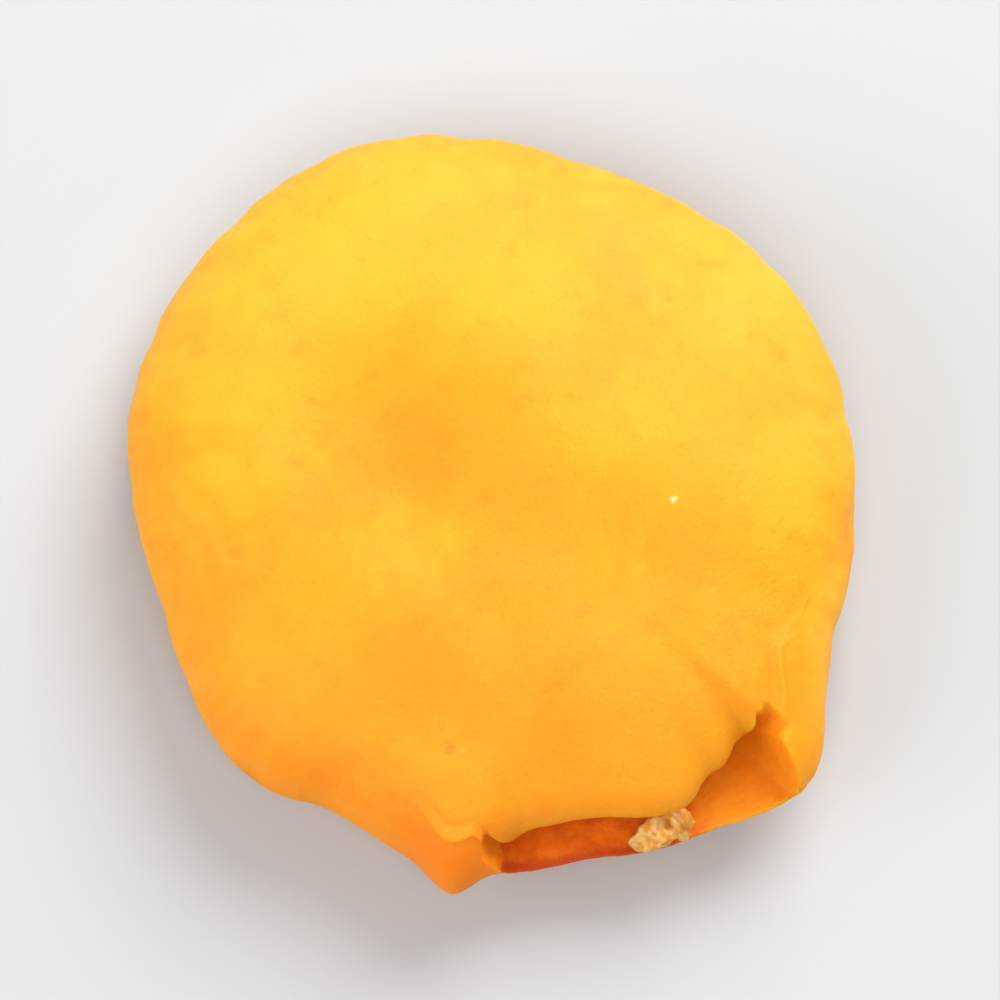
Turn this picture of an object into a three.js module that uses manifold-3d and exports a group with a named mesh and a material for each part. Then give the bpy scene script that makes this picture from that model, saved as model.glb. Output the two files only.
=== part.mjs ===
// A whole dried apricot, pitted: a soft, flattened disc of fruit, one solid, lying on its underside.
// Its stem end faces -Y. There the stone was squeezed out through a torn slit, the mouth, which still
// stands open a little: the upper lip has drawn back, the lower lip juts out under it, and a crumb of
// stem tissue bridges the two. The tip of the fruit faces +Y. Millimetres, +Z up, origin on the
// surface that it lies on, under the middle of its outline.

import * as THREE from "three";
import { mergeVertices } from "three/addons/utils/BufferGeometryUtils.js";
import Module from "manifold-3d";

// ---- Driving dimensions, in millimetres and degrees. Azimuths are counted from +X towards +Y. ----

const MEAN_RADIUS = 18.6; // of the outline, seen from above
const RISE = 5.3; // from the seam plane up to the shoulders of the upper face
const DROP = 4.9; // from the seam plane down to the fullest part of the underside
const UPPER_FULLNESS = 4.6; // exponent of the section: higher is a flatter face and a blunter rim
const UNDER_FULLNESS = 3.4;
const LUMP_HEIGHT = 0.27; // of the soft lumps left by drying
const PRESSED_FLAT = 0.28; // depth to which the surface it dried on pressed the underside flat

// Slow swellings of the outline: [lobes round the fruit, height, azimuth of one crest].
const OUTLINE_SWELLS = [
  [1, 0.4, -80],
  [2, 0.7, 90],
  [3, 0.3, -5],
  [4, 0.25, 10],
  [5, 0.25, -5],
  [6, 0.15, 25],
];

// Where the upper and the lower half of the skin meet: [azimuth, height over the rim's widest line as
// a share of the rise]. The lower half laps up over the rim at the beak and at the lobe.
const SEAM = [
  [-145, 0],
  [-128, 0.62],
  [-119, 0.62],
  [-110.5, -0.05],
  [-90, -0.05],
  [-72, 0.03],
  [-68, 0.68],
  [-58, 0.745],
  [-50, 0.6],
  [-22, 0],
];

// The mouth, which runs along the seam from the beak at its left to the lobe at its right. It opens
// over the first span of azimuths and closes over the second.
const MOUTH = { opens: [-117, -107.5], closes: [-73, -66] };

// The slit runs in from the lower lip's edge, past the upper lip's: its depth, how much deeper it
// is for each millimetre that the upper lip has drawn back, how fast it grows shallow towards the
// mouth's corners, as an exponent, the share of the seam's tilt that it follows, and how steeply it
// runs down where the seam is upright.
const SLIT_DEPTH = 5;
const SLIT_DEEPER = 0.5;
const SLIT_ENDS = 0.35;
const SLIT_TILT = 0.3;
const SLIT_DIPS = 0.36;

// The lips' edges roll inwards by "roll", over the width "wide" of skin. A higher exponent "taper"
// of the slit's wall behind the edge makes a rounder lip, and a lower one a sharper lip. "gap" is
// the lip's share of the height of the gap.
const UPPER_LIP = { roll: 1.0, wide: 1.5, taper: 1.4, gap: 0.5 };
const LOWER_LIP = { roll: 0.25, wide: 0.5, taper: 0.9, gap: 0.35 };
const LIPS_THINNER = 0.18; // share by which the fruit is thinner at the mouth

// How far the upper lip's edge has drawn back from the seam: [azimuth, millimetres].
const DRAWN_BACK = [
  [-118, 0],
  [-110.5, 1.35],
  [-98, 1.3],
  [-85.5, 0.8],
  [-78, 2.1],
  [-71.2, 3.2],
  [-67.4, 0.3],
  [-62, 0],
];

// Swellings and dents of the outline beside the mouth: azimuth, half width in degrees, height.
const DENT = { at: -141, wide: 10, high: -1.1 };
const BEAK = { at: -121.5, wide: 4.3, high: 1.45 };
const LIP_HOLLOW = { at: -100, wide: 7, high: -0.5 };
const LOBE = { at: -69, wide: 11, high: 2.1 };
const OUTLINE_BUMPS = [DENT, BEAK, LIP_HOLLOW, LOBE];

// The two lumps of the crumb of stem tissue, one along the lower lip and one up to the upper lip:
// azimuth, distance in from the outline, and half size round the mouth, out of it and up.
const CRUMB_LUMPS = [
  { at: -90.5, inset: 1.1, round: 1.3, deep: 0.8, tall: 0.8 },
  { at: -86.5, inset: 1.5, round: 0.6, deep: 1.15, tall: 1.0 },
];
const CRUMB_ROUGH = 0.2; // its knobbliness

// The suture, a shallow crease along the seam, from the mouth's right corner towards the tip: its
// azimuth, half width in degrees, depth, and half height across the seam.
const SUTURE = { at: -8, wide: 36, deep: 0.35, half: 0.9 };

// Hollows of the two faces: centre, half length along Y, half width along X, depth.
const UPPER_HOLLOWS = [
  { x: -4.2, y: 4.4, long: 6.5, wide: 3.6, deep: 1.0 },
  { x: 1.8, y: -5.0, long: 3.4, wide: 3.8, deep: 0.5 },
  { x: -2.8, y: -6.4, long: 2.2, wide: 0.9, deep: 0.18 },
];
const UNDER_HOLLOWS = [
  { x: 0.8, y: 0.5, long: 7, wide: 4.2, deep: 1.3 },
  { x: -8.5, y: 6.5, long: 3, wide: 3.2, deep: 0.6 },
];

// Puckers: soft pleats that run from the rim in over both faces.
const PUCKER_COUNT = 23;
const PUCKER_DEPTH = 0.22;
const PUCKER_HALF_WIDTH = 0.85;
const RIM_FROM = 0.8; // share of the radius from which they draw in the rim and not sink the face
const LUMPS_TO = 0.7; // share of the radius from which the lumps fade out

// Rings of triangles from the middle of each face to the seam: 12 x 30 x 30 triangles of skin.
const RINGS = 30;
const LIP_RING = 26; // the ring that runs along the lip's edge
const CROWDED = 0.4; // how much closer together the points of a ring are at the mouth

// ---- Small helpers ----

const radians = (degrees) => (degrees * Math.PI) / 180;

// 0 at low and below, 1 at high and above, and smooth between them. low may be the greater.
function ramp(low, high, value) {
  const t = Math.min(1, Math.max(0, (value - low) / (high - low)));
  return t * t * (3 - 2 * t);
}

// Difference of two azimuths, from -180 to 180 degrees.
const turn = (from, to) => ((((to - from + 180) % 360) + 360) % 360) - 180;

// 1 at the azimuth "at", falling off like a bell with the half width "wide".
function bell(azimuth, { at, wide }) {
  const away = turn(at, azimuth) / wide;
  return Math.exp(-away * away);
}

// A repeatable stream of numbers from 0 to 1.
function seeded(seed) {
  let state = seed >>> 0;
  return () => {
    state = (Math.imul(state, 1664525) + 1013904223) >>> 0;
    return state / 2 ** 32;
  };
}

// The value at an azimuth from a table of [azimuth, value], level beyond its ends.
function fromTable(table, azimuth) {
  const here = turn(0, azimuth);
  const next = table.findIndex(([at]) => at > here);
  if (next < 1) return table.at(next)[1];
  const [[lowAt, low], [highAt, high]] = [table[next - 1], table[next]];
  return low + (high - low) * ramp(lowAt, highAt, here);
}

// ---- The outline and the mouth, by azimuth ----

// 1 along the mouth and 0 outside its corners.
function mouthOpen(azimuth) {
  const here = turn(0, azimuth);
  return ramp(...MOUTH.opens, here) * ramp(MOUTH.closes[1], MOUTH.closes[0], here);
}

// Radius of the outline.
function outline(azimuth) {
  let radius = MEAN_RADIUS;
  for (const [lobes, height, crest] of OUTLINE_SWELLS)
    radius += height * Math.cos(radians(lobes * (azimuth - crest)));
  for (const bump of OUTLINE_BUMPS) radius += bump.high * bell(azimuth, bump);
  return radius;
}

// ---- The two faces, over the plane ----

// The lumps are a few long waves in space, in seeded directions.
function makeWaves(seed, count, shortest, longest) {
  const draw = seeded(seed);
  const waves = [];
  for (let i = 0; i < count; i++) {
    const heading = new THREE.Vector3(draw() - 0.5, draw() - 0.5, draw() - 0.5);
    const length = shortest + (longest - shortest) * draw();
    heading.normalize().multiplyScalar((2 * Math.PI) / length);
    waves.push({ heading, phase: 2 * Math.PI * draw() });
  }
  return waves;
}

// Height of the waves at a point, mostly from -1.5 to 1.5.
function height(waves, point) {
  let sum = 0;
  for (const { heading, phase } of waves) sum += Math.sin(heading.dot(point) + phase);
  return sum / Math.sqrt(waves.length);
}

const LUMPS = makeWaves(11, 9, 8, 17);

function hollowed(hollows, x, y) {
  let depth = 0;
  for (const h of hollows) {
    const across = (x - h.x) / h.wide;
    const along = (y - h.y) / h.long;
    depth += h.deep * Math.exp(-across * across - along * along);
  }
  return depth;
}

// Share of the full thickness at a place: the fruit thins towards its mouth.
function fullness(x, y) {
  const towardsMouth = ramp(3, MEAN_RADIUS, -y) * ramp(MEAN_RADIUS, 4, Math.abs(x));
  return 1 - LIPS_THINNER * towardsMouth;
}

const upperFace = (x, y) => RISE * fullness(x, y) - hollowed(UPPER_HOLLOWS, x, y);
const underFace = (x, y) => DROP * fullness(x, y) - hollowed(UNDER_HOLLOWS, x, y);

// ---- Puckers ----

function makePuckers(seed) {
  const draw = seeded(seed);
  const puckers = [];
  for (let i = 0; i < PUCKER_COUNT; i++) {
    puckers.push({
      azimuth: (360 * (i + 0.7 * (draw() - 0.5))) / PUCKER_COUNT,
      reach: 0.45 + 0.35 * draw(), // share of the radius where it fades out
      depth: PUCKER_DEPTH * (0.35 + 0.65 * draw()),
      bend: 26 * (draw() - 0.5), // degrees that it swings as it runs inwards
      side: draw() < 0.5 ? 1 : -1, // the face that it runs furthest over
    });
  }
  return puckers;
}

const PUCKERS = makePuckers(5);

// Depth of the pleats at a share of the radius. side is 1 on the upper half and -1 on the lower.
function puckered(azimuth, share, side) {
  let depth = 0;
  for (const p of PUCKERS) {
    const reach = p.side === side ? p.reach : 0.5 + 0.5 * p.reach;
    const here = ramp(reach, reach + 0.25, share);
    const away = turn(p.azimuth + p.bend * (1 - share), azimuth);
    const offset = (radians(away) * share * MEAN_RADIUS) / PUCKER_HALF_WIDTH;
    depth += p.depth * here * Math.exp(-offset * offset);
  }
  return depth;
}

// ---- The section ----

const STATIONS = 400; // of half the section, from the middle of a face to the seam
const STATION_CROWDING = 3.5; // exponent that crowds them in the middle, where the skin runs level
const LIP_WIDTH_ELSEWHERE = 0.9; // of the last run of rings, where there is no mouth

// The skin before anything is done to it, at a height of -1 to 1 over the rim's widest line.
function skinAt(azimuth, up, drawnBack) {
  const exponent = up > 0 ? UPPER_FULLNESS : UNDER_FULLNESS;
  const radius = (outline(azimuth) - drawnBack) * (1 - up * up) ** (1 / exponent);
  const x = radius * Math.cos(radians(azimuth));
  const y = radius * Math.sin(radians(azimuth));
  return new THREE.Vector2(radius, up * (up > 0 ? upperFace : underFace)(x, y));
}

// Half of the section at an azimuth, as two runs of points: over the face and round the rim to the
// lip's edge, and from there to the seam, which at the mouth lies at the slit's inner end. side is
// 1 for the upper half and -1 for the lower one.
function halfSection(azimuth, side) {
  const open = mouthOpen(azimuth);
  const upperDrawnBack = fromTable(DRAWN_BACK, azimuth);
  const drawnBack = side > 0 ? upperDrawnBack : 0;
  const seamUp = fromTable(SEAM, azimuth);
  const suture = SUTURE.deep * bell(azimuth, SUTURE);
  const lip = side > 0 ? UPPER_LIP : LOWER_LIP;
  const lipWidth = LIP_WIDTH_ELSEWHERE + (lip.gap - LIP_WIDTH_ELSEWHERE) * Math.sqrt(open);

  const skin = [];
  for (let i = 0; i <= STATIONS; i++) {
    const level = 1 - (i / STATIONS) ** STATION_CROWDING;
    skin.push(skinAt(azimuth, seamUp + (side - seamUp) * level, drawnBack));
  }
  const toSeam = skin.map(() => 0);
  for (let i = STATIONS - 1; i >= 0; i--)
    toSeam[i] = toSeam[i + 1] + skin[i].distanceTo(skin[i + 1]);

  const outwards = skin.map((_, i) => {
    const along = skin[Math.min(i + 1, STATIONS)].clone().sub(skin[Math.max(i - 1, 0)]);
    return new THREE.Vector2(-side * along.y, side * along.x).normalize();
  });

  // Where both halves meet: on the seam, or as far inside it as the slit is deep.
  const meeting = skinAt(azimuth, seamUp, 0);
  const upTheSkin = skinAt(azimuth, seamUp + 0.02, 0).sub(meeting);
  const inwards = new THREE.Vector2(-upTheSkin.y, upTheSkin.x).normalize();
  const slit = new THREE.Vector2(inwards.x, SLIT_TILT * inwards.y - SLIT_DIPS);
  slit.setLength((SLIT_DEPTH + SLIT_DEEPER * upperDrawnBack) * open ** SLIT_ENDS);
  const shut = meeting.addScaledVector(inwards, suture).sub(skin[STATIONS]);
  shut.addScaledVector(outwards[STATIONS], lip.roll * open ** 2 + suture);

  const points = skin.map((point, i) => {
    const roll = lip.roll * open ** 2 * Math.exp(-((toSeam[i] / lip.wide) ** 2));
    const crease = suture * Math.exp(-((toSeam[i] / SUTURE.half) ** 2));
    const inside = Math.max(0, 1 - toSeam[i] / lipWidth);
    const moved = point.clone().addScaledVector(outwards[i], -roll - crease);
    moved.addScaledVector(slit, inside ** lip.taper).addScaledVector(shut, inside ** (1 + open));
    const { x: radius, y: z } = moved;
    const heading = radians(azimuth);
    return new THREE.Vector3(radius * Math.cos(heading), radius * Math.sin(heading), z);
  });
  const after = toSeam.findIndex((distance) => distance <= lipWidth);
  const part = (toSeam[after - 1] - lipWidth) / (toSeam[after - 1] - toSeam[after]);
  const edge = points[after - 1].clone().lerp(points[after], part);
  return [
    [...points.slice(0, after), edge],
    [edge, ...points.slice(after)],
  ];
}

// Points spaced along a run at the given shares of its length.
function spaced(points, shares) {
  const along = [0];
  for (let i = 1; i < points.length; i++)
    along.push(along[i - 1] + points[i].distanceTo(points[i - 1]));
  let i = 1;
  return shares.map((share) => {
    const target = along.at(-1) * share;
    while (i < points.length - 1 && along[i] < target) i++;
    const t = (target - along[i - 1]) / (along[i] - along[i - 1]);
    return points[i - 1].clone().lerp(points[i], t);
  });
}

// The rings lie closer together towards the rim.
const FACE_SHARES = Array.from({ length: LIP_RING }, (_, ring) => {
  const share = ring / LIP_RING;
  return share * (1.2 - 0.2 * share);
});
const SLIT_SHARES = Array.from(
  { length: RINGS - LIP_RING + 1 },
  (_, ring) => ring / (RINGS - LIP_RING),
);

// ---- The mesh: two round sheets of rings that share the ring at the seam ----

// Ring r has 6 r points, so that its triangles stay nearly equal-sided.
const pointsInRing = (ring) => Math.max(1, 6 * ring);
const firstOfRing = (ring) => (ring === 0 ? 0 : 1 + 3 * ring * (ring - 1));

// Azimuth at a share of the way round a ring: the points crowd at the mouth, which faces -90.
function azimuthAt(share) {
  const azimuth = 360 * share;
  return azimuth - (180 / Math.PI) * CROWDED * Math.cos(radians(azimuth));
}

function sheetPoints(side) {
  const sections = new Map();
  function sectionAt(share) {
    if (!sections.has(share)) {
      const [overFace, intoSlit] = halfSection(azimuthAt(share), side);
      sections.set(share, [...spaced(overFace, FACE_SHARES), ...spaced(intoSlit, SLIT_SHARES)]);
    }
    return sections.get(share);
  }

  const points = [];
  for (let ring = 0; ring <= RINGS; ring++) {
    for (let i = 0; i < pointsInRing(ring); i++) {
      const share = i / pointsInRing(ring);
      const azimuth = azimuthAt(share);
      const section = sectionAt(share);
      const point = section[ring].clone();

      // Pleats draw in the rim and sink the faces, and lumps swell them. The inside of the slit
      // moves with the lip, but less and less towards the seam, where both halves meet.
      const lip = section[Math.min(ring, LIP_RING)];
      const reached = Math.hypot(lip.x, lip.y) / outline(azimuth);
      const pleat = puckered(azimuth, reached, side) * (1 - mouthOpen(azimuth));
      const onRim = ramp(RIM_FROM, 1, reached);
      const lump = LUMP_HEIGHT * height(LUMPS, lip) * ramp(1, LUMPS_TO, reached);
      point.x -= pleat * onRim * Math.cos(radians(azimuth));
      point.y -= pleat * onRim * Math.sin(radians(azimuth));
      point.z += side * (lump - pleat * (1 - onRim)) * ramp(RINGS, LIP_RING, ring);
      points.push(point);
    }
  }
  return points;
}

// Triangles of one sheet, as indices into its points, facing up.
function sheetTriangles() {
  const triangles = [];
  for (let ring = 1; ring <= RINGS; ring++) {
    const outer = firstOfRing(ring);
    const inner = firstOfRing(ring - 1);
    for (let sixth = 0; sixth < 6; sixth++) {
      for (let i = 0; i < ring; i++) {
        const a = outer + sixth * ring + i;
        const b = outer + ((sixth * ring + i + 1) % pointsInRing(ring));
        const c = inner + ((sixth * (ring - 1) + i) % pointsInRing(ring - 1));
        const d = inner + ((sixth * (ring - 1) + i + 1) % pointsInRing(ring - 1));
        triangles.push([a, b, c]);
        if (i < ring - 1) triangles.push([b, d, c]);
      }
    }
  }
  return triangles;
}

// Both sheets as one closed surface: the seam's ring is the upper sheet's, and the lower one uses it.
function fleshGeometry() {
  const [upper, under] = [1, -1].map(sheetPoints);
  const seam = firstOfRing(RINGS);
  const ofUnder = (i) => (i < seam ? upper.length + i : i);
  const index = [];
  for (const [a, b, c] of sheetTriangles()) {
    index.push(a, b, c);
    index.push(ofUnder(a), ofUnder(c), ofUnder(b));
  }
  const points = [...upper, ...under.slice(0, seam)];
  return new THREE.BufferGeometry().setFromPoints(points).setIndex(index);
}

// One small knobbly lump of the crumb, between the lips.
function lumpGeometry({ at, inset, round, deep, tall }, seed) {
  const knobs = makeWaves(seed, 7, 0.9, 1.9); // over a ball of radius 1
  const geometry = new THREE.IcosahedronGeometry(1, 3);
  geometry.deleteAttribute("normal");
  geometry.deleteAttribute("uv");
  const merged = mergeVertices(geometry);
  const position = merged.getAttribute("position");
  const point = new THREE.Vector3();
  for (let i = 0; i < position.count; i++) {
    point.fromBufferAttribute(position, i);
    point.multiplyScalar(1 + CRUMB_ROUGH * height(knobs, point));
    position.setXYZ(i, point.x, point.y, point.z);
  }
  merged.scale(deep, round, tall);
  merged.rotateZ(radians(at));
  const radius = outline(at) - inset;
  return merged.translate(radius * Math.cos(radians(at)), radius * Math.sin(radians(at)), 0);
}

// ---- One solid, pressed flat where it lies ----

const wasm = await Module();
wasm.setup();

function solidOf(geometry) {
  const vertProperties = geometry.getAttribute("position").array;
  const triVerts = new Uint32Array(geometry.index.array);
  return new wasm.Manifold(new wasm.Mesh({ numProp: 3, vertProperties, triVerts }));
}

function geometryOf(solid) {
  const mesh = solid.getMesh();
  const geometry = new THREE.BufferGeometry();
  geometry.setAttribute("position", new THREE.BufferAttribute(mesh.vertProperties, 3));
  return geometry.setIndex(new THREE.BufferAttribute(mesh.triVerts, 1));
}

function fruitGeometry() {
  let solid = solidOf(fleshGeometry());
  CRUMB_LUMPS.forEach((lump, i) => (solid = solid.add(solidOf(lumpGeometry(lump, 3 + i)))));
  const geometry = geometryOf(solid);
  geometry.computeBoundingBox();
  const middle = geometry.boundingBox.getCenter(new THREE.Vector3());
  const floor = geometry.boundingBox.min.z + PRESSED_FLAT;
  geometry.translate(-middle.x, -middle.y, -floor);
  const position = geometry.getAttribute("position");
  for (let i = 0; i < position.count; i++) position.setZ(i, Math.max(0, position.getZ(i)));
  geometry.computeVertexNormals();
  return geometry;
}

const flesh = new THREE.MeshStandardMaterial({ color: 0xf59a1c, roughness: 0.5, metalness: 0 });

const apricot = new THREE.Mesh(fruitGeometry(), flesh);
apricot.name = "apricot";

const part = new THREE.Group();
part.add(apricot);

export default part;
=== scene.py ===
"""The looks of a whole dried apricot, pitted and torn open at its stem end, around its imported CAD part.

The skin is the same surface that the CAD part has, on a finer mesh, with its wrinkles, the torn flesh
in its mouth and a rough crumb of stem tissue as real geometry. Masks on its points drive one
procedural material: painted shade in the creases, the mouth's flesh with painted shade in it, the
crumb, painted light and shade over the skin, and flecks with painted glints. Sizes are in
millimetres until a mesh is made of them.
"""

import math

import bmesh
import bpy
import numpy as np
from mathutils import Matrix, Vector, noise


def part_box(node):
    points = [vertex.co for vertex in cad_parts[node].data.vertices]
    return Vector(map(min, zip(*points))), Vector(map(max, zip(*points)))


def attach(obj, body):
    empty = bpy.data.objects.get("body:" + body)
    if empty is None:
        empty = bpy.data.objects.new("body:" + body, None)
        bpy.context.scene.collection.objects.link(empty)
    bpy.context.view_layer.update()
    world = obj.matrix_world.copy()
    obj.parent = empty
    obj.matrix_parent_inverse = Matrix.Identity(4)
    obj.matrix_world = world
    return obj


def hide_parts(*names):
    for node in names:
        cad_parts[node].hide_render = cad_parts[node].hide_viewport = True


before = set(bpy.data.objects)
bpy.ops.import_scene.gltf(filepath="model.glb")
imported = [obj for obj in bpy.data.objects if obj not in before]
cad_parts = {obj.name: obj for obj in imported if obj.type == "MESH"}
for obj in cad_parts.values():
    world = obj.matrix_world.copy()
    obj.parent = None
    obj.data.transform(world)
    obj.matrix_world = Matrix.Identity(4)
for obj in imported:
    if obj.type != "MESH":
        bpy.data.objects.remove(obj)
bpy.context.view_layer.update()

MM = 0.001

# ---- The fruit's form, as the CAD part has it ----

# Sizes are in millimetres, and azimuths in degrees, counted from +X towards +Y.

MEAN_RADIUS = 18.6
RISE = 5.3
DROP = 4.9
UPPER_FULLNESS = 4.6  # exponent of the section: higher is a flatter face and a blunter rim
UNDER_FULLNESS = 3.4
LUMP_HEIGHT = 0.27
PRESSED_FLAT = 0.28

# (lobes round the fruit, height, azimuth of one crest).
OUTLINE_SWELLS = [
    (1, 0.4, -80),
    (2, 0.7, 90),
    (3, 0.3, -5),
    (4, 0.25, 10),
    (5, 0.25, -5),
    (6, 0.15, 25),
]

# Dent, beak, hollow of the lower lip, and lobe: (azimuth, half width, height).
OUTLINE_BUMPS = [(-141, 10, -1.1), (-121.5, 4.3, 1.45), (-100, 7, -0.5), (-69, 11, 2.1)]

# The line where the halves of the skin meet: (azimuth, height as a share of the rise).
SEAM = [
    (-145, 0),
    (-128, 0.62),
    (-119, 0.62),
    (-110.5, -0.05),
    (-90, -0.05),
    (-72, 0.03),
    (-68, 0.68),
    (-58, 0.745),
    (-50, 0.6),
    (-22, 0),
]

# The mouth opens over the first span of azimuths and closes over the second.
MOUTH_OPENS = (-117, -107.5)
MOUTH_CLOSES = (-73, -66)

# The slit's depth, how much deeper it is for each millimetre that the upper lip has drawn back, how
# fast it grows shallow towards the mouth's corners, as an exponent, the share of the seam's tilt
# that it follows, and how steeply it runs down where the seam is upright.
SLIT_DEPTH = 5
SLIT_DEEPER = 0.5
SLIT_ENDS = 0.35
SLIT_TILT = 0.3
SLIT_DIPS = 0.36

# The upper and the lower lip: how far the edge rolls inwards, over what width of skin, the exponent
# of the slit's wall behind it, which is higher for a rounder lip, and the lip's share of the gap.
UPPER_LIP = (1.0, 1.5, 1.4, 0.5)
LOWER_LIP = (0.25, 0.5, 0.9, 0.35)
LIPS_THINNER = 0.18  # share by which the fruit is thinner at the mouth

# How far the upper lip has drawn back: (azimuth, millimetres).
DRAWN_BACK = [
    (-118, 0),
    (-110.5, 1.35),
    (-98, 1.3),
    (-85.5, 0.8),
    (-78, 2.1),
    (-71.2, 3.2),
    (-67.4, 0.3),
    (-62, 0),
]

# The two lumps of the crumb: (azimuth, distance in from the outline, half size out, round and up).
CRUMB_LUMPS = [(-90.5, 1.1, (0.8, 1.3, 0.8)), (-86.5, 1.5, (1.15, 0.6, 1.0))]
CRUMB_ROUGH = 0.2

# The suture, a shallow crease along the seam: azimuth, half width in degrees, depth, and half
# height across the seam.
SUTURE_AT = -8
SUTURE_WIDE = 36
SUTURE_DEEP = 0.35
SUTURE_HALF = 0.9

# Hollows of the faces: (x, y, half length along Y, half width along X, depth).
UPPER_HOLLOWS = [(-4.2, 4.4, 6.5, 3.6, 1.0), (1.8, -5.0, 3.4, 3.8, 0.5), (-2.8, -6.4, 2.2, 0.9, 0.18)]
UNDER_HOLLOWS = [(0.8, 0.5, 7, 4.2, 1.3), (-8.5, 6.5, 3, 3.2, 0.6)]

# Puckers: soft pleats that run from the rim in over both faces.
PUCKER_COUNT = 23
PUCKER_DEPTH = 0.22
PUCKER_HALF_WIDTH = 0.85
RIM_FROM = 0.8  # share of the radius from which they draw in the rim and not sink the face
LUMPS_TO = 0.7  # share of the radius from which the lumps fade out

# ---- The mesh ----

RINGS = 125  # from the middle of a face to the seam
LIP_RING = 104  # the ring that runs along the lip's edge
RING_CROWDING = 0.2  # towards the lip
CROWDED = 0.3  # towards the mouth, round a ring
SECTIONS = 1500
STATIONS = 400  # points of a section, before the rings are placed on it
STATION_CROWDING = 3.5
LIP_WIDTH_ELSEWHERE = 0.9
SMALL_STEP_UP = 0.02

# ---- Small helpers ----


def ramp(low, high, value):
    """0 at low and below, 1 at high and above, and smooth between them. low may be the greater."""
    t = np.clip((value - low) / (high - low), 0, 1)
    return t * t * (3 - 2 * t)


def turn(start, end):
    """Difference of two azimuths, from -180 to 180 degrees."""
    return (end - start + 180) % 360 - 180


def bell(azimuth, at, wide):
    return np.exp(-((turn(at, azimuth) / wide) ** 2))


def from_table(table, azimuth):
    """The value at an azimuth from rows of (azimuth, value), level beyond its ends."""
    here = turn(0, azimuth)
    value = np.full(np.shape(here), float(table[0][1]))
    for (low_at, low), (high_at, high) in zip(table, table[1:]):
        value += (high - low) * ramp(low_at, high_at, here)
    return value


def seeded(seed):
    """A repeatable stream of numbers from 0 to 1, the same as the CAD part's."""
    state = seed
    while True:
        state = (state * 1664525 + 1013904223) % 2**32
        yield state / 2**32


def length_of(vectors):
    return np.sqrt((vectors**2).sum(-1))


# ---- The outline and the mouth, by azimuth ----


def mouth_open(azimuth):
    here = turn(0, azimuth)
    return ramp(*MOUTH_OPENS, here) * ramp(MOUTH_CLOSES[1], MOUTH_CLOSES[0], here)


def outline(azimuth):
    radius = np.full(np.shape(azimuth), MEAN_RADIUS)
    for lobes, height, crest in OUTLINE_SWELLS:
        radius += height * np.cos(np.radians(lobes * (azimuth - crest)))
    for at, wide, high in OUTLINE_BUMPS:
        radius += high * bell(azimuth, at, wide)
    return radius


# ---- The faces, the lumps and the pleats ----


def make_waves(seed, count, shortest, longest):
    draw = seeded(seed)
    waves = []
    for _ in range(count):
        heading = np.array([next(draw) - 0.5, next(draw) - 0.5, next(draw) - 0.5])
        length = shortest + (longest - shortest) * next(draw)
        heading *= 2 * math.pi / length / length_of(heading)
        waves.append((heading, 2 * math.pi * next(draw)))
    return waves


def wave_height(waves, points):
    total = sum(np.sin(points @ heading + phase) for heading, phase in waves)
    return total / math.sqrt(len(waves))


LUMPS = make_waves(seed=11, count=9, shortest=8, longest=17)


def hollowed(hollows, x, y):
    return sum(
        deep * np.exp(-(((x - cx) / wide) ** 2) - ((y - cy) / long) ** 2)
        for cx, cy, long, wide, deep in hollows
    )


def fullness(x, y):
    towards_mouth = ramp(3, MEAN_RADIUS, -y) * ramp(MEAN_RADIUS, 4, np.abs(x))
    return 1 - LIPS_THINNER * towards_mouth


def make_puckers(seed):
    draw = seeded(seed)
    puckers = []
    for i in range(PUCKER_COUNT):
        azimuth = 360 * (i + 0.7 * (next(draw) - 0.5)) / PUCKER_COUNT
        reach = 0.45 + 0.35 * next(draw)
        depth = PUCKER_DEPTH * (0.35 + 0.65 * next(draw))
        bend = 26 * (next(draw) - 0.5)
        side = 1 if next(draw) < 0.5 else -1
        puckers.append((azimuth, reach, depth, bend, side))
    return puckers


PUCKERS = make_puckers(seed=5)


def puckered(azimuth, share, side):
    """Depth of the pleats at a share of the radius, on the upper half (1) or the lower one (-1)."""
    total = 0
    for at, reach, depth, bend, longer_on in PUCKERS:
        start = reach if longer_on == side else 0.5 + 0.5 * reach
        away = turn(at + bend * (1 - share), azimuth)
        offset = np.radians(away) * share * MEAN_RADIUS / PUCKER_HALF_WIDTH
        total = total + depth * ramp(start, start + 0.25, share) * np.exp(-(offset**2))
    return total


# ---- The section ----


def skin_at(azimuth, up, drawn_back):
    """Radius and height of the plain skin, at a height of -1 to 1 over the rim's widest line."""
    over = up > 0
    exponent = np.where(over, UPPER_FULLNESS, UNDER_FULLNESS)
    radius = (outline(azimuth) - drawn_back) * (1 - up * up) ** (1 / exponent)
    x = radius * np.cos(np.radians(azimuth))
    y = radius * np.sin(np.radians(azimuth))
    upper = RISE * fullness(x, y) - hollowed(UPPER_HOLLOWS, x, y)
    under = DROP * fullness(x, y) - hollowed(UNDER_HOLLOWS, x, y)
    return np.stack([radius, up * np.where(over, upper, under)], -1)


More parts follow.
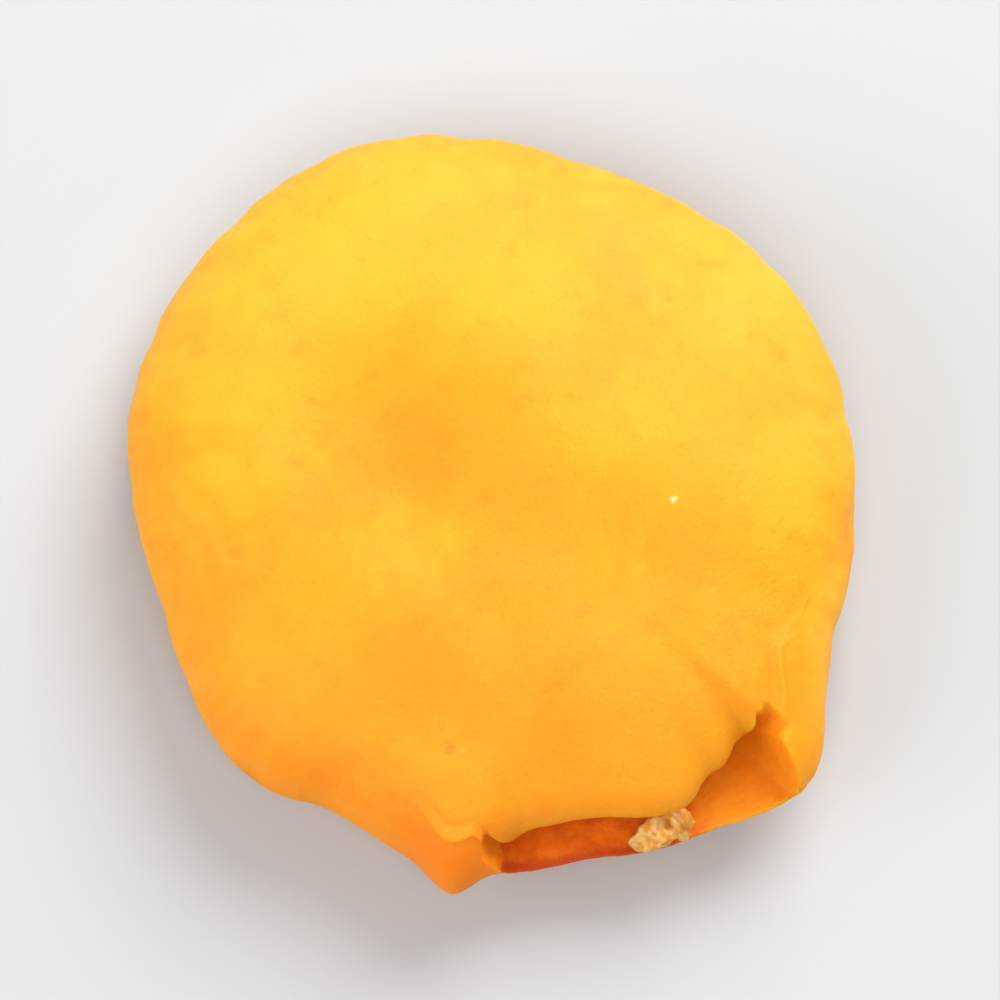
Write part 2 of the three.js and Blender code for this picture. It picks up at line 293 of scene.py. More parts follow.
def half_sections(azimuths, side):
    """By azimuth, the runs of skin from the middle of a face to the lip's edge and on to the seam.

    Each point has its distance out from the lip's edge as a fourth value, negative in the slit.
    """
    azimuth = azimuths[:, None]
    opened = mouth_open(azimuth)
    upper_drawn_back = from_table(DRAWN_BACK, azimuth)
    drawn_back = upper_drawn_back if side > 0 else 0 * azimuth
    seam_up = from_table(SEAM, azimuth)
    suture = SUTURE_DEEP * bell(azimuth, SUTURE_AT, SUTURE_WIDE)
    roll_depth, roll_width, taper, gap = UPPER_LIP if side > 0 else LOWER_LIP
    lip_width = LIP_WIDTH_ELSEWHERE + (gap - LIP_WIDTH_ELSEWHERE) * np.sqrt(opened)

    level = 1 - (np.arange(STATIONS + 1) / STATIONS) ** STATION_CROWDING
    skin = skin_at(azimuth, seam_up + (side - seam_up) * level, drawn_back)
    steps = length_of(np.diff(skin, axis=1))
    to_seam = np.zeros(skin.shape[:2])
    to_seam[:, :-1] = steps[:, ::-1].cumsum(1)[:, ::-1]

    along = np.empty_like(skin)
    along[:, 1:-1] = skin[:, 2:] - skin[:, :-2]
    along[:, 0] = skin[:, 1] - skin[:, 0]
    along[:, -1] = skin[:, -1] - skin[:, -2]
    outwards = np.stack([-side * along[..., 1], side * along[..., 0]], -1)
    outwards /= length_of(outwards)[..., None]

    # Where both halves meet: on the seam, or as far inside it as the slit is deep.
    meeting = skin_at(azimuth, seam_up, 0 * azimuth)
    up_the_skin = skin_at(azimuth, seam_up + SMALL_STEP_UP, 0 * azimuth) - meeting
    inwards = np.stack([-up_the_skin[..., 1], up_the_skin[..., 0]], -1)
    inwards /= length_of(inwards)[..., None]
    slit = inwards * np.array([1, SLIT_TILT]) - np.array([0, SLIT_DIPS])
    slit_depth = (SLIT_DEPTH + SLIT_DEEPER * upper_drawn_back) * opened**SLIT_ENDS
    slit *= (slit_depth / length_of(slit))[..., None]
    inner_end = meeting + suture[..., None] * inwards + slit

    roll = roll_depth * opened**2 * np.exp(-((to_seam / roll_width) ** 2))
    crease = suture * np.exp(-((to_seam / SUTURE_HALF) ** 2))
    inside = np.maximum(0, 1 - to_seam / lip_width)[..., None]
    moved = skin - (roll + crease)[..., None] * outwards
    skin_end = moved[:, -1:].copy()
    moved += inside**taper * slit
    moved += inside ** (1 + opened[..., None]) * (inner_end - slit - skin_end)

    heading = np.radians(azimuth)
    radius = moved[..., 0]
    out_from_edge = np.maximum(to_seam - opened * lip_width, 0) - slit_depth * inside[..., 0]
    columns = [radius * np.cos(heading), radius * np.sin(heading), moved[..., 1], out_from_edge]
    return [
        split_at_edge(np.stack(values, -1), far - width)
        for values, far, width in zip(zip(*columns), to_seam, lip_width)
    ]


def split_at_edge(points, out):
    """A run of points cut in two where "out", which falls along it, passes 0."""
    after = np.argmax(out <= 0)
    part = out[after - 1] / (out[after - 1] - out[after])
    edge = points[after - 1 : after] * (1 - part) + points[after : after + 1] * part
    return np.concatenate([points[:after], edge]), np.concatenate([edge, points[after:]])


def spaced(points, shares):
    """Points at the given shares of the length of a run of points."""
    along = np.concatenate([[0], length_of(np.diff(points[:, :3], axis=0)).cumsum()])
    return np.stack([np.interp(shares * along[-1], along, column) for column in points.T], -1)


FACE_SHARES = np.arange(LIP_RING) / LIP_RING
FACE_SHARES = FACE_SHARES * (1 + RING_CROWDING - RING_CROWDING * FACE_SHARES)
SLIT_SHARES = np.arange(RINGS - LIP_RING + 1) / (RINGS - LIP_RING)


def ringed_sections(side):
    """The ring points of every section: an array of sections by rings by 4."""
    share = np.arange(SECTIONS) / SECTIONS
    return np.array(
        [
            np.concatenate([spaced(over_face, FACE_SHARES), spaced(into_slit, SLIT_SHARES)])
            for over_face, into_slit in half_sections(azimuth_at(share), side)
        ]
    )


# ---- The sheets ----


def azimuth_at(share):
    """Azimuth at a share of the way round a ring: the points crowd at the mouth."""
    azimuth = 360 * share
    return azimuth - math.degrees(CROWDED) * np.cos(np.radians(azimuth))


def points_in_ring(ring):
    return max(1, 6 * ring)


def first_of_ring(ring):
    return 0 if ring == 0 else 1 + 3 * ring * (ring - 1)


def sheet_points(side):
    """Points (x, y, z, out from the lip's edge), azimuths and rings of one half of the skin."""
    sections = ringed_sections(side)
    points, azimuths, rings = [], [], []
    for ring in range(RINGS + 1):
        share = np.arange(points_in_ring(ring)) / points_in_ring(ring)
        place = share * SECTIONS
        low = np.floor(place).astype(int) % SECTIONS
        part = (place - np.floor(place))[:, None]
        azimuth = azimuth_at(share)

        def between(which):
            return sections[low, which] * (1 - part) + sections[(low + 1) % SECTIONS, which] * part

        point = between(ring)
        lip = between(min(ring, LIP_RING))
        reached = np.hypot(lip[:, 0], lip[:, 1]) / outline(azimuth)
        pleat = puckered(azimuth, reached, side) * (1 - mouth_open(azimuth))
        on_rim = ramp(RIM_FROM, 1, reached)
        lump = LUMP_HEIGHT * wave_height(LUMPS, lip[:, :3]) * ramp(1, LUMPS_TO, reached)
        point[:, 0] -= pleat * on_rim * np.cos(np.radians(azimuth))
        point[:, 1] -= pleat * on_rim * np.sin(np.radians(azimuth))
        point[:, 2] += side * (lump - pleat * (1 - on_rim)) * ramp(RINGS, LIP_RING, ring)
        points.append(point)
        azimuths.append(azimuth)
        rings.append(np.full(len(share), ring))
    return np.concatenate(points), np.concatenate(azimuths), np.concatenate(rings)


def sheet_triangles():
    triangles = []
    for ring in range(1, RINGS + 1):
        outer, inner = first_of_ring(ring), first_of_ring(ring - 1)
        sixth, i = np.divmod(np.arange(6 * ring), ring)
        a = outer + sixth * ring + i
        b = outer + (sixth * ring + i + 1) % points_in_ring(ring)
        c = inner + (sixth * (ring - 1) + i) % points_in_ring(ring - 1)
        d = inner + (sixth * (ring - 1) + i + 1) % points_in_ring(ring - 1)
        triangles.append(np.stack([a, b, c], -1))
        triangles.append(np.stack([b, d, c], -1)[i < ring - 1])
    return np.concatenate(triangles)


def face_normals(points, triangles):
    a, b, c = (points[triangles[:, k]] for k in range(3))
    return np.cross(b - a, c - a)


def point_normals(points, triangles):
    """Unit normals, each the area-weighted mean over the triangles round a point."""
    faces = face_normals(points, triangles)
    total = np.zeros_like(points)
    for corner in range(3):
        for axis in range(3):
            total[:, axis] += np.bincount(
                triangles[:, corner], weights=faces[:, axis], minlength=len(points)
            )
    return total / np.maximum(length_of(total), 1e-12)[:, None]


def flesh_surface():
    """The whole skin as one closed surface: points, triangles, and what relief() asks for."""
    upper, upper_azimuth, upper_ring = sheet_points(1)
    under, under_azimuth, under_ring = sheet_points(-1)
    seam = first_of_ring(RINGS)
    triangles = sheet_triangles()
    flipped = triangles[:, [0, 2, 1]]
    flipped = np.where(flipped < seam, flipped + len(upper), flipped)
    points = np.concatenate([upper, under[:seam]])
    azimuth = np.concatenate([upper_azimuth, under_azimuth[:seam]])
    ring = np.concatenate([upper_ring, under_ring[:seam]])
    side = np.concatenate([np.full(len(upper), 1), np.full(seam, -1)])
    place = (azimuth, ring, side, points[:, 3])
    return points[:, :3], np.concatenate([triangles, flipped]), place


# ---- Noise ----

SEED_SPACING = 17.3
RIDGE_GAIN = 2.2


def noise_at(points, size, seed=0):
    """Smooth noise from about -1 to 1, with features of the given size."""
    places = points / size + SEED_SPACING * seed
    return np.array([noise.noise(Vector(place)) for place in places])


def creases_at(points, size, sharp, seed=0):
    """0 in a net of sharp valleys and up to 1 on the rounded ridges between them."""
    value = noise_at(points, size, seed)
    return np.minimum(1, (np.sqrt(value**2 + sharp**2) - sharp) * RIDGE_GAIN)


# ---- Fine relief of the skin and of the torn flesh ----

HALF_SECTION = 20  # millimetres of skin from the middle of a face to the seam, roughly
WRINKLE_SIZE = 2.3
WRINKLE_DEPTH = 0.06
WRINKLE_SHARP = 0.12
FINE_WRINKLE_SIZE = 0.8
FINE_WRINKLE_DEPTH = 0.026
FINE_WRINKLE_SHARP = 0.15
WARP_SIZE = 5
WARP_REACH = 1.2
PATCH_SIZE = 6.5
PLEAT_SIZE = 1.3
PLEAT_LENGTH = 4.5
PLEAT_DEPTH = 0.07
PLEAT_SHARP = 0.15
PLEAT_BEND = 7  # degrees
PLEAT_BEND_SIZE = 6
FLESH_SIZE = 0.8
FLESH_DEPTH = 0.14
# How far out over the lower lip's edge the flesh colour reaches, carrying the painted shade onto it.
LOWER_LIP_SHADE_REACH = 0.6
# Between these azimuths the flesh is painted redder, as the shade in the slit.
OFF_LOBE = (-78, -92)  # azimuths between which the flesh turns redder

# Beads along the lips' edges, raised or sunk: (azimuth, half width in degrees, side, distance out
# from the edge, half width across, height). The first two fold the skin over the beak, and the
# others raise the edge of the lobe out of a crease beside it.
BEADS = [
    (-121, 6, 1, 0.1, 0.3, 0.14),
    (-123, 5, 1, 0.75, 0.3, -0.12),
    (-61, 6, -1, 0.3, 0.22, 0.16),
    (-62, 5, 1, 0.4, 0.3, -0.1),
]


def relief(points, azimuth, ring, side, out_from_edge):
    """Depths of the relief along the skin's normals, the crease mask for the painted shade in the
    creases, and the mouth mask.
    """
    opened = mouth_open(azimuth)
    reached = np.hypot(points[:, 0], points[:, 1]) / outline(azimuth)
    flesh = ramp(0.05, 0.6, opened) * ramp(0.05, -0.15, out_from_edge)
    skin = 1 - flesh

    # A third in the orange flesh by the lobe, two thirds in the flesh between it and the beak, which is
    # painted redder as shade of the slit, and 1 on the edge of the lower lip there, bare of skin, where
    # the flesh has its darkest painted shade.
    off_lobe = ramp(*OFF_LOBE, turn(0, azimuth))
    on_lower_lip = off_lobe * (side < 0)
    bare = ramp(0, 0.3, opened) * ramp(0.05, -0.15, out_from_edge - LOWER_LIP_SHADE_REACH * on_lower_lip)
    mouth = bare * (1 + off_lobe + on_lower_lip * ramp(-0.9, 0.1, out_from_edge)) / 3

    warp = np.stack([noise_at(points, WARP_SIZE, seed) for seed in (40, 41, 42)], -1)
    warped = points + WARP_REACH * warp
    broad = creases_at(warped, WRINKLE_SIZE, WRINKLE_SHARP, seed=1)
    fine = creases_at(warped, FINE_WRINKLE_SIZE, FINE_WRINKLE_SHARP, seed=2)
    patchy = 0.3 + 0.7 * ramp(-0.3, 0.4, noise_at(points, PATCH_SIZE, seed=3))

    # Pleats that run from the rim inwards: noise that is stretched along the section.
    heading = np.radians(azimuth + PLEAT_BEND * noise_at(points, PLEAT_BEND_SIZE, seed=4))
    round_rim = np.stack([np.cos(heading), np.sin(heading)], -1) * MEAN_RADIUS / PLEAT_SIZE
    across = (side * (1 - ring / RINGS) * HALF_SECTION)[:, None] / PLEAT_LENGTH
    pleats = creases_at(np.concatenate([round_rim, across], -1), 1, PLEAT_SHARP, seed=5)
    near_rim = ramp(0.7, 1.0, reached)
    pleat_depth = PLEAT_DEPTH * near_rim * (0.4 + 0.6 * opened) * patchy

    depth = WRINKLE_DEPTH * (1 - broad) * patchy * (0.5 + 0.5 * near_rim)
    depth += FINE_WRINKLE_DEPTH * (1 - fine) * (0.4 + 0.6 * near_rim)
    depth += pleat_depth * (1 - pleats)
    for at, wide, bead_side, out, half, high in BEADS:
        across_bead = np.exp(-(((out_from_edge - out) / half) ** 2))
        depth -= high * across_bead * bell(azimuth, at, wide) * (side == bead_side)
    # The crease mask paints shade into the valleys of the wrinkles and the grooves of the pleats.
    crease = ramp(0.35, 1.0, (1 - broad) * patchy) * 0.5
    crease += 0.5 * ramp(0.4, 1.0, (1 - pleats) * near_rim)

    # The fibres of the torn flesh run the same way, but are finer and shorter.
    fibres = noise_at(np.concatenate([round_rim * 1.2, across * 2], -1), 1, seed=6)
    torn = 0.5 * fibres + 0.6 * noise_at(points, FLESH_SIZE, seed=7)
    inside = ramp(RINGS, RINGS - 8, ring) * ramp(0, -0.4, out_from_edge)
    return depth * skin + FLESH_DEPTH * torn * opened * inside, np.clip(crease * skin, 0, 1), mouth


# ---- Colour over the fruit ----

# Painted light and shade: the colour is paler towards its tip, on the lit side, and deeper orange as
# painted shade towards the stem, in the hollow of the face, and on the rim at the beak and beside it.
# The lobe's lit rim is painted pale.
STEM_AZIMUTH = -125
STEM_SIDE_SHADE = 0.42
STEM_SIDE_SHADE_SPAN = (-12, 15)
HOLLOW_AT = (-1.5, 3.5)
HOLLOW_RADIUS = 6
HOLLOW_SHADE = 0.2
SHADE_UNEVEN_SIZE = 6
SHADE_UNEVEN_REACH = 3

# (azimuth, half width in degrees, strength of the painted shade, negative for painted light), and
# the shares of the radius where they fade in.
RIM_LIGHT_AND_SHADE = [(-121, 9, 0.6), (-147, 16, 0.12), (-52, 12, -0.24)]
RIM_LIGHT_AND_SHADE_SPAN = (0.84, 0.98)

# Flecks on the upper face and glints that are painted highlights: (azimuth, distance from the middle,
# half size, height, and how pale the painted highlight is, or how dark the fleck where that is
# negative). The pale spot beside the dark fleck by the beak and the last one are painted glints.
FLECKS = [
    (-123.6, 14.0, 0.34, -0.05, -0.6),
    (-121.2, 14.0, 0.18, 0.04, 0.25),
    (171.8, 13.1, 0.5, -0.03, -0.45),
    (126.4, 5.6, 0.6, -0.03, -0.35),
    (122.9, 2.7, 0.7, -0.03, -0.35),
    (64.2, 7.0, 0.5, -0.02, -0.25),
    (-36.3, 9.2, 0.15, 0.07, 1.0),
]
FLECK_RAGGED_SIZE = 0.5


def painted_shading_at(points, azimuth):
    """How deep the painted shade is, from 0, the palest, painted light, to 1, the deepest painted shade.
    """
    heading = math.radians(STEM_AZIMUTH)
    towards_stem = points[:, 0] * math.cos(heading) + points[:, 1] * math.sin(heading)
    reached = np.hypot(points[:, 0], points[:, 1]) / outline(azimuth)
    uneven = noise_at(points, SHADE_UNEVEN_SIZE, seed=9)
    total = STEM_SIDE_SHADE * ramp(*STEM_SIDE_SHADE_SPAN, towards_stem + SHADE_UNEVEN_REACH * uneven)
    from_hollow = np.hypot(points[:, 0] - HOLLOW_AT[0], points[:, 1] - HOLLOW_AT[1])
    total += HOLLOW_SHADE * np.exp(-((from_hollow / HOLLOW_RADIUS) ** 2)) * (1 + 0.5 * uneven)
    for at, wide, strength in RIM_LIGHT_AND_SHADE:
        total += strength * bell(azimuth, at, wide) * ramp(*RIM_LIGHT_AND_SHADE_SPAN, reached)
    return np.clip(total, 0, 1)


def flecks_at(points, side):
    """Height of the flecks and glints, and their colour mask: dark flecks below 0, painted glints above
    0.
    """
    height = np.zeros(len(points))
    flecks_and_painted_glints = np.zeros(len(points))
    ragged = noise_at(points, FLECK_RAGGED_SIZE, seed=10)
    for at, radius, half, high, pale in FLECKS:
        x = radius * math.cos(math.radians(at))
        y = radius * math.sin(math.radians(at))
        away = np.hypot(points[:, 0] - x, points[:, 1] - y) + half * ragged
        here = np.exp(-((away / half) ** 2)) * (side > 0)
        height += high * here
        flecks_and_painted_glints += pale * here
    return height, flecks_and_painted_glints


def flesh_mesh_data():
    points, triangles, place = flesh_surface()
    depth, crease, mouth = relief(points, *place)
    azimuth, _, side, _ = place
    painted_shading = painted_shading_at(points, azimuth)
    height, flecks_and_painted_glints = flecks_at(points, side)
    points = points + (height - depth)[:, None] * point_normals(points, triangles)
    masks = {"crease": crease, "mouth": mouth, "painted_shading": painted_shading, "flecks_and_painted_glints": flecks_and_painted_glints}
    return points, triangles, masks


# ---- The crumb of stem tissue ----

CRUMB_GRAIN = 0.36
CRUMB_GRAIN_DEPTH = 0.13
CRUMB_FIBRES = (0.45, 1, 1)  # how fine the grain is outwards, round and up
CRUMB_SUBDIVISIONS = 5
CRUMB_SEED = 3  # of the first lump


def lump_mesh_data(at, inset, half_size, seed):
    """One lump of the crumb: the knobbly one of the CAD part, with a finer grain."""
    made = bmesh.new()
    bmesh.ops.create_icosphere(made, subdivisions=CRUMB_SUBDIVISIONS, radius=1)
    made.verts.ensure_lookup_table()
    ball = np.array([v.co for v in made.verts])
    triangles = np.array([[v.index for v in f.verts] for f in made.faces])
    made.free()
    knobs = make_waves(seed, count=7, shortest=0.9, longest=1.9)
    shape = ball * (1 + CRUMB_ROUGH * wave_height(knobs, ball))[:, None]
    shape = shape * np.array(half_size)
    fibres = shape * np.array(CRUMB_FIBRES)
    grain = 0.8 * creases_at(fibres, CRUMB_GRAIN, 0.1, 8 + seed) - 0.4
    grain += 0.5 * noise_at(shape, CRUMB_GRAIN / 2, seed)
    shape = shape + ball * (CRUMB_GRAIN_DEPTH * grain)[:, None]
    heading = math.radians(at)
    turned = shape.copy()
    turned[:, 0] = shape[:, 0] * math.cos(heading) - shape[:, 1] * math.sin(heading)
    turned[:, 1] = shape[:, 0] * math.sin(heading) + shape[:, 1] * math.cos(heading)
    radius = float(outline(np.array(at))) - inset
    place = np.array([radius * math.cos(heading), radius * math.sin(heading), 0])
    return turned + place, triangles


# ---- Meshes ----

SLIVER = 0.002  # points closer than this are merged


def mesh_object(name, points, triangles):
    mesh = bpy.data.meshes.new(name)
    mesh.from_pydata((points * MM).tolist(), [], triangles.tolist())
    mesh.shade_smooth()
    made = bpy.data.objects.new(name, mesh)
    bpy.context.scene.collection.objects.link(made)
    return made


def add_mask(made, name, values):
    mask = made.data.attributes.new(name, "FLOAT", "POINT")
    mask.data.foreach_set("value", np.asarray(values, np.float32))


def merge_slivers(mesh):
    """Clear what joining leaves along the crumb: slivers, and pairs of faces back to back."""
    made = bmesh.new()
    made.from_mesh(mesh)
    bmesh.ops.remove_doubles(made, verts=made.verts, dist=SLIVER * MM)
    bmesh.ops.triangulate(made, faces=made.faces)
    made.verts.index_update()
    seen = {}
    pairs = []
    for face in made.faces:
        corners = frozenset(corner.index for corner in face.verts)
        if corners in seen:
            pairs += [face, seen[corners]]
        seen[corners] = face
    bmesh.ops.delete(made, geom=pairs, context="FACES")
    made.to_mesh(mesh)
    made.free()


def build_fruit():
    points, triangles, masks = flesh_mesh_data()
    lumps = [lump_mesh_data(*lump, CRUMB_SEED + i) for i, lump in enumerate(CRUMB_LUMPS)]

    # Where the CAD part lies: centred, and pressed flat on the floor, as part.mjs does it.
    everything = np.concatenate([points] + [lump for lump, _ in lumps])
    low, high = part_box("apricot")
    middle = (everything.min(0) + everything.max(0)) / 2
    shift = np.array([(low.x + high.x) / 2 / MM, (low.y + high.y) / 2 / MM, 0]) - middle
    shift[2] = -(everything[:, 2].min() + PRESSED_FLAT)
    points = points + shift
    points[:, 2] = np.maximum(points[:, 2], 0)

    fruit = mesh_object("apricot_fruit", points, triangles)
    for name, values in masks.items():
        add_mask(fruit, name, values)
    add_mask(fruit, "crumb", np.zeros(len(points)))
    joined_to = []
    for lump_points, lump_triangles in lumps:
        lump = mesh_object("crumb_lump", lump_points + shift, lump_triangles)
        for name in masks:
            add_mask(lump, name, np.zeros(len(lump_points)))
        add_mask(lump, "crumb", np.ones(len(lump_points)))
        joining = fruit.modifiers.new("join lump", "BOOLEAN")
        joining.operation = "UNION"
        joining.solver = "MANIFOLD"
        joining.object = lump
        joined_to.append(lump)
    bpy.context.view_layer.update()
    evaluated = fruit.evaluated_get(bpy.context.evaluated_depsgraph_get())
    joined = bpy.data.meshes.new_from_object(evaluated)
    fruit.modifiers.clear()
    merge_slivers(joined)
    fruit.data = joined
    joined.shade_smooth()
    for lump in joined_to:
        bpy.data.objects.remove(lump)
    return fruit


# ---- Material ----

# The places that a colour Mix node keeps its colours at, among its sockets.
MIX_INPUT_A = 6
MIX_INPUT_B = 7
MIX_OUTPUT = 2


class Nodes:
    """Short calls that add nodes to a material."""

    def __init__(self, material):
        material.use_nodes = True
        self.tree = material.node_tree
        self.tree.nodes.clear()

    def add(self, kind, **settings):
        node = self.tree.nodes.new(kind)
        for key, value in settings.items():
            setattr(node, key, value)
        return node

    def link(self, source, target):
        self.tree.links.new(source, target)

    def mask(self, name):
        return self.add("ShaderNodeAttribute", attribute_name=name).outputs["Fac"]

    def noise(self, size, detail, roughness):
        """Noise with features of the given size in millimetres, from 0 to 1."""
        place = self.add("ShaderNodeTexCoord").outputs["Object"]
        node = self.add("ShaderNodeTexNoise")
        node.inputs["Scale"].default_value = 1 / (size * MM)
        node.inputs["Detail"].default_value = detail
        node.inputs["Roughness"].default_value = roughness
        self.link(place, node.inputs["Vector"])
        return node.outputs["Fac"]

    def spread(self, value, low, high, to_low=0.0, to_high=1.0):
        """to_low where the value is low and below, to_high where it is high, smooth in between."""
        node = self.add("ShaderNodeMapRange", interpolation_type="SMOOTHSTEP")
        node.inputs["From Min"].default_value = low
        node.inputs["From Max"].default_value = high
        node.inputs["To Min"].default_value = to_low
        node.inputs["To Max"].default_value = to_high
        self.link(value, node.inputs["Value"])
        return node.outputs["Result"]

    def times(self, value, factor):
        node = self.add("ShaderNodeMath", operation="MULTIPLY")
        self.link(value, node.inputs[0])
        node.inputs[1].default_value = factor
        return node.outputs["Value"]

    def mix(self, share, a, b):
        """Colour a where share is 0 and b where it is 1. Either is a colour or a socket."""
        node = self.add("ShaderNodeMix", data_type="RGBA")
        self.link(share, node.inputs["Factor"])
        for value, target in ((a, node.inputs[MIX_INPUT_A]), (b, node.inputs[MIX_INPUT_B])):
            if isinstance(value, tuple):
                target.default_value = (*value, 1)
            else:
                self.link(value, target)
        return node.outputs[MIX_OUTPUT]


# Colours are shares of linear red, green and blue.
ORANGE = (0.90, 0.37, 0.008)
YELLOW_ORANGE = (0.93, 0.43, 0.014)
PAINTED_LIGHT_YELLOW = (0.94, 0.52, 0.05)
# DEEP_ORANGE is the mottling's own colour and also the colour of the painted shade.
DEEP_ORANGE = (0.86, 0.22, 0.001)
SHADED_FLESH_RED = (0.42, 0.045, 0.0004)
FLESH_RUST = (0.92, 0.21, 0.002)
FLESH_ORANGE = (0.86, 0.27, 0.003)
FLECK_BROWN = (0.52, 0.25, 0.01)
PAINTED_GLINT_WHITE = (0.97, 0.80, 0.36)
CRUMB_PALE = (0.75, 0.44, 0.14)
CRUMB_BROWN = (0.60, 0.25, 0.03)

# How much of a colour shows at the most.
PAINTED_LIGHT_SHARE = 0.4
MOTTLE_SHARE = 0.25
CREASE_SHADE_SHARE = 0.25
TORN_SHARE = 0.4

# Patterns of noise: (size in millimetres, octaves, how much the finer octaves count).
SKIN_PATCHES = (7.0, 3.0, 0.5)
MOTTLING = (1.6, 4.0, 0.6)
TORN_PATCHES = (1.0, 3.0, 0.6)
CRUMB_PATCHES = (0.7, 3.0, 0.6)
GLOSS_PATCHES = (2.5, 2.0, 0.5)
SKIN_GRAIN = (0.3, 4.0, 0.65)

# The mouth mask where the flesh by the lobe and the flesh beside it, painted redder as shade, have
# their full colour.
ORANGE_FLESH_AT = 0.33
SHADED_FLESH_AT = 0.67

ROUGHNESS = (0.55, 0.66)
SPECULAR = 0.25
SUBSURFACE_WEIGHT = 0.6
SUBSURFACE_REACH = 2.2  # millimetres, for the red
SUBSURFACE_RADIUS = (1.0, 0.3, 0.06)
GRAIN_STRENGTH = 0.8
GRAIN_DEPTH = 0.1


def fruit_material():
    material = bpy.data.materials.new("dried apricot")
    n = Nodes(material)
    crease, mouth, crumb = n.mask("crease"), n.mask("mouth"), n.mask("crumb")
    painted_shading, flecks_and_painted_glints = n.mask("painted_shading"), n.mask("flecks_and_painted_glints")

    # The skin: golden, painted paler towards its tip as painted light and deeper towards the stem as
    # painted shade, mottled, with painted shade in its creases, its flecks, and painted glints.
    skin = n.mix(n.spread(n.noise(*SKIN_PATCHES), 0.35, 0.65), ORANGE, YELLOW_ORANGE)
    # Painted light and shade: paler towards the lit tip, deeper orange on the shaded side towards the
    # stem.
    skin = n.mix(n.spread(painted_shading, 0.0, 0.2, PAINTED_LIGHT_SHARE, 0.0), skin, PAINTED_LIGHT_YELLOW)
    skin = n.mix(n.spread(painted_shading, 0.05, 0.9), skin, DEEP_ORANGE)
    mottle = n.spread(n.noise(*MOTTLING), 0.52, 0.75, 0.0, MOTTLE_SHARE)
    skin = n.mix(mottle, skin, DEEP_ORANGE)
    # Painted shade: deeper orange in the creases.
    skin = n.mix(n.times(crease, CREASE_SHADE_SHARE), skin, DEEP_ORANGE)
    skin = n.mix(n.spread(flecks_and_painted_glints, 0.0, -1.0), skin, FLECK_BROWN)
    # Painted highlight: the glints are pale spots painted into the colour.
    skin = n.mix(n.spread(flecks_and_painted_glints, 0.0, 1.0), skin, PAINTED_GLINT_WHITE)

    # The flesh in the mouth, from the lobe to the bare edge of the lower lip, with painted shade that
    # deepens it towards the beak and is darkest on that edge, and the crumb.
    torn = n.spread(n.noise(*TORN_PATCHES), 0.35, 0.65, 0.0, TORN_SHARE)
    flesh = n.mix(torn, FLESH_RUST, SHADED_FLESH_RED)
    flesh = n.mix(n.spread(mouth, ORANGE_FLESH_AT, SHADED_FLESH_AT), FLESH_ORANGE, flesh)
    flesh = n.mix(n.spread(mouth, SHADED_FLESH_AT, 1.0), flesh, SHADED_FLESH_RED)
    pale = n.mix(n.spread(n.noise(*CRUMB_PATCHES), 0.42, 0.62), CRUMB_PALE, CRUMB_BROWN)
    colour = n.mix(n.spread(mouth, 0.0, ORANGE_FLESH_AT), skin, flesh)
    colour = n.mix(crumb, colour, pale)

    shader = n.add("ShaderNodeBsdfPrincipled")
    n.link(colour, shader.inputs["Base Color"])
    n.link(n.spread(n.noise(*GLOSS_PATCHES), 0.3, 0.7, *ROUGHNESS), shader.inputs["Roughness"])
    shader.inputs["Specular IOR Level"].default_value = SPECULAR
    shader.inputs["Subsurface Weight"].default_value = SUBSURFACE_WEIGHT
    shader.inputs["Subsurface Radius"].default_value = SUBSURFACE_RADIUS
    shader.inputs["Subsurface Scale"].default_value = SUBSURFACE_REACH * MM

    bump = n.add("ShaderNodeBump")
    bump.inputs["Strength"].default_value = GRAIN_STRENGTH
    bump.inputs["Distance"].default_value = GRAIN_DEPTH * MM
    n.link(n.noise(*SKIN_GRAIN), bump.inputs["Height"])
    n.link(bump.outputs["Normal"], shader.inputs["Normal"])
    output = n.add("ShaderNodeOutputMaterial")
    n.link(shader.outputs["BSDF"], output.inputs["Surface"])
    return material


FLOOR_GREY = 0.54
FLOOR_ROUGHNESS = 0.9


def floor_material():
    material = bpy.data.materials.new("pale floor")
    n = Nodes(material)
    shader = n.add("ShaderNodeBsdfPrincipled")
    shader.inputs["Base Color"].default_value = (FLOOR_GREY, FLOOR_GREY, FLOOR_GREY, 1)
    shader.inputs["Roughness"].default_value = FLOOR_ROUGHNESS
    output = n.add("ShaderNodeOutputMaterial")
    n.link(shader.outputs["BSDF"], output.inputs["Surface"])
    return material


# ---- Studio ----

CAMERA_AZIMUTH = -26
CAMERA_ELEVATION = 75
CAMERA_LENS = 250
SENSOR = 36
NEAREST_SEEN = 0.01  # metres
FRAME_FILLED = 0.80  # share of the frame's height that the fruit's length takes up

# Area lights: (name, azimuth, elevation, distance and width in metres, power in watts).
LIGHTS = [
    ("key", 125, 42, 0.5, 0.4, 2.8),
    ("fill", -95, 30, 0.6, 0.5, 1.8),
    ("front", -20, 62, 0.5, 0.3, 0.9),
]
WORLD_STRENGTH = 0.4
FLOOR_HALF = 1.5  # metres
FLOOR_BELOW = 0.01  # millimetres


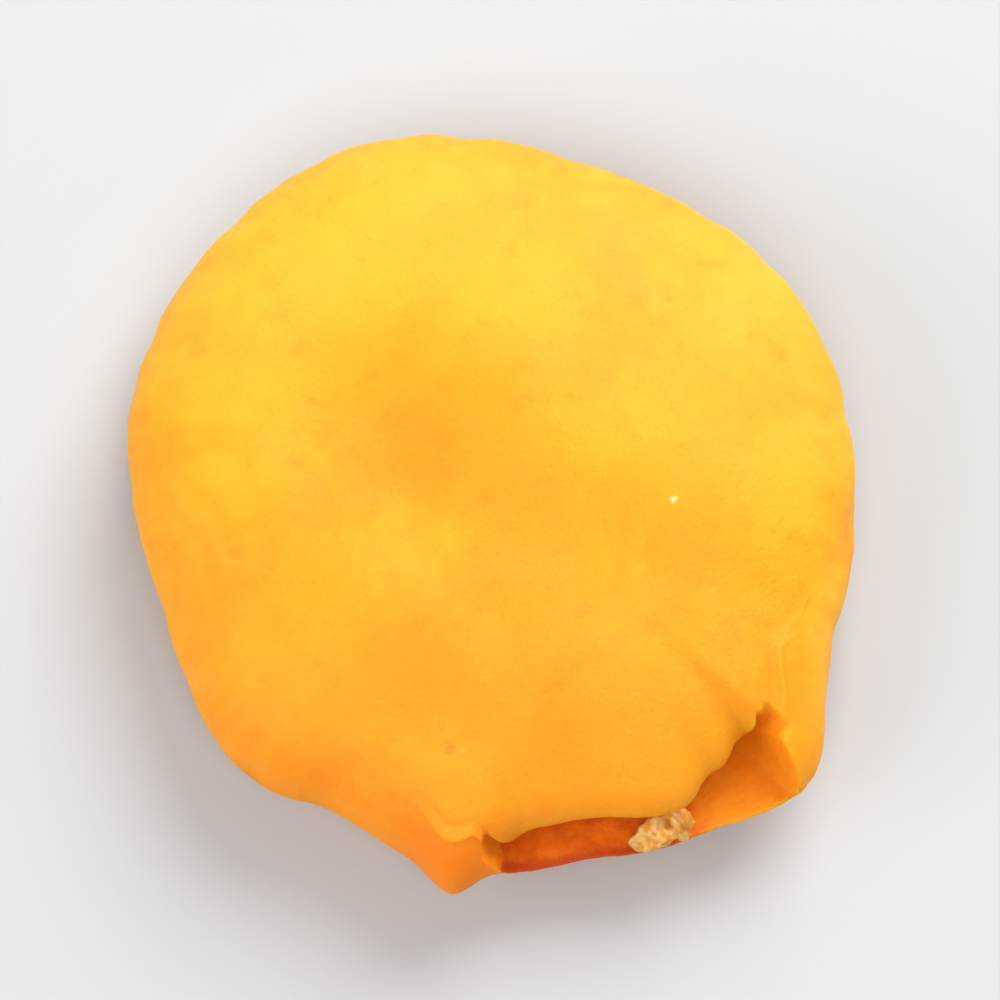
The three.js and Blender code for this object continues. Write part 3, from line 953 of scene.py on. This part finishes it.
def direction(azimuth, elevation):
    """Unit vector towards a place round the fruit. Azimuth 0 is in front of it, on -Y."""
    a, e = math.radians(azimuth), math.radians(elevation)
    return Vector((math.sin(a) * math.cos(e), -math.cos(a) * math.cos(e), math.sin(e)))


def aim(made, place, target):
    made.location = place
    made.rotation_mode = "QUATERNION"
    made.rotation_quaternion = (target - place).to_track_quat("-Z", "Y")


def add_camera(target, span):
    data = bpy.data.cameras.new("camera")
    data.lens = CAMERA_LENS
    data.sensor_width = SENSOR
    data.clip_start = NEAREST_SEEN
    camera = bpy.data.objects.new("camera", data)
    bpy.context.scene.collection.objects.link(camera)
    distance = span / FRAME_FILLED * CAMERA_LENS / SENSOR
    aim(camera, target + distance * direction(CAMERA_AZIMUTH, CAMERA_ELEVATION), target)
    bpy.context.scene.camera = camera


def add_area_light(name, azimuth, elevation, distance, size, power, target):
    data = bpy.data.lights.new(name, "AREA")
    data.shape = "DISK"
    data.size = size
    data.energy = power
    light = bpy.data.objects.new(name, data)
    bpy.context.scene.collection.objects.link(light)
    aim(light, target + distance * direction(azimuth, elevation), target)


def add_floor():
    data = bpy.data.meshes.new("floor")
    half = FLOOR_HALF
    corners = [(-half, -half, 0), (half, -half, 0), (half, half, 0), (-half, half, 0)]
    data.from_pydata(corners, [], [(0, 1, 2, 3)])
    floor = bpy.data.objects.new("floor", data)
    floor.location.z = -FLOOR_BELOW * MM
    data.materials.append(floor_material())
    bpy.context.scene.collection.objects.link(floor)


def light_world():
    world = bpy.data.worlds.new("soft studio")
    world.use_nodes = True
    background = world.node_tree.nodes["Background"]
    background.inputs["Color"].default_value = (1, 1, 1, 1)
    background.inputs["Strength"].default_value = WORLD_STRENGTH
    bpy.context.scene.world = world


# ---- The scene ----

low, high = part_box("apricot")
centre = (low + high) / 2
add_camera(centre, (high - low).y)
for light in LIGHTS:
    add_area_light(*light, centre)
light_world()
add_floor()
bpy.context.scene.view_settings.view_transform = "Standard"
bpy.context.scene.view_settings.look = "None"

fruit = build_fruit()
fruit.data.materials.clear()
fruit.data.materials.append(fruit_material())
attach(fruit, "root")
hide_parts("apricot")
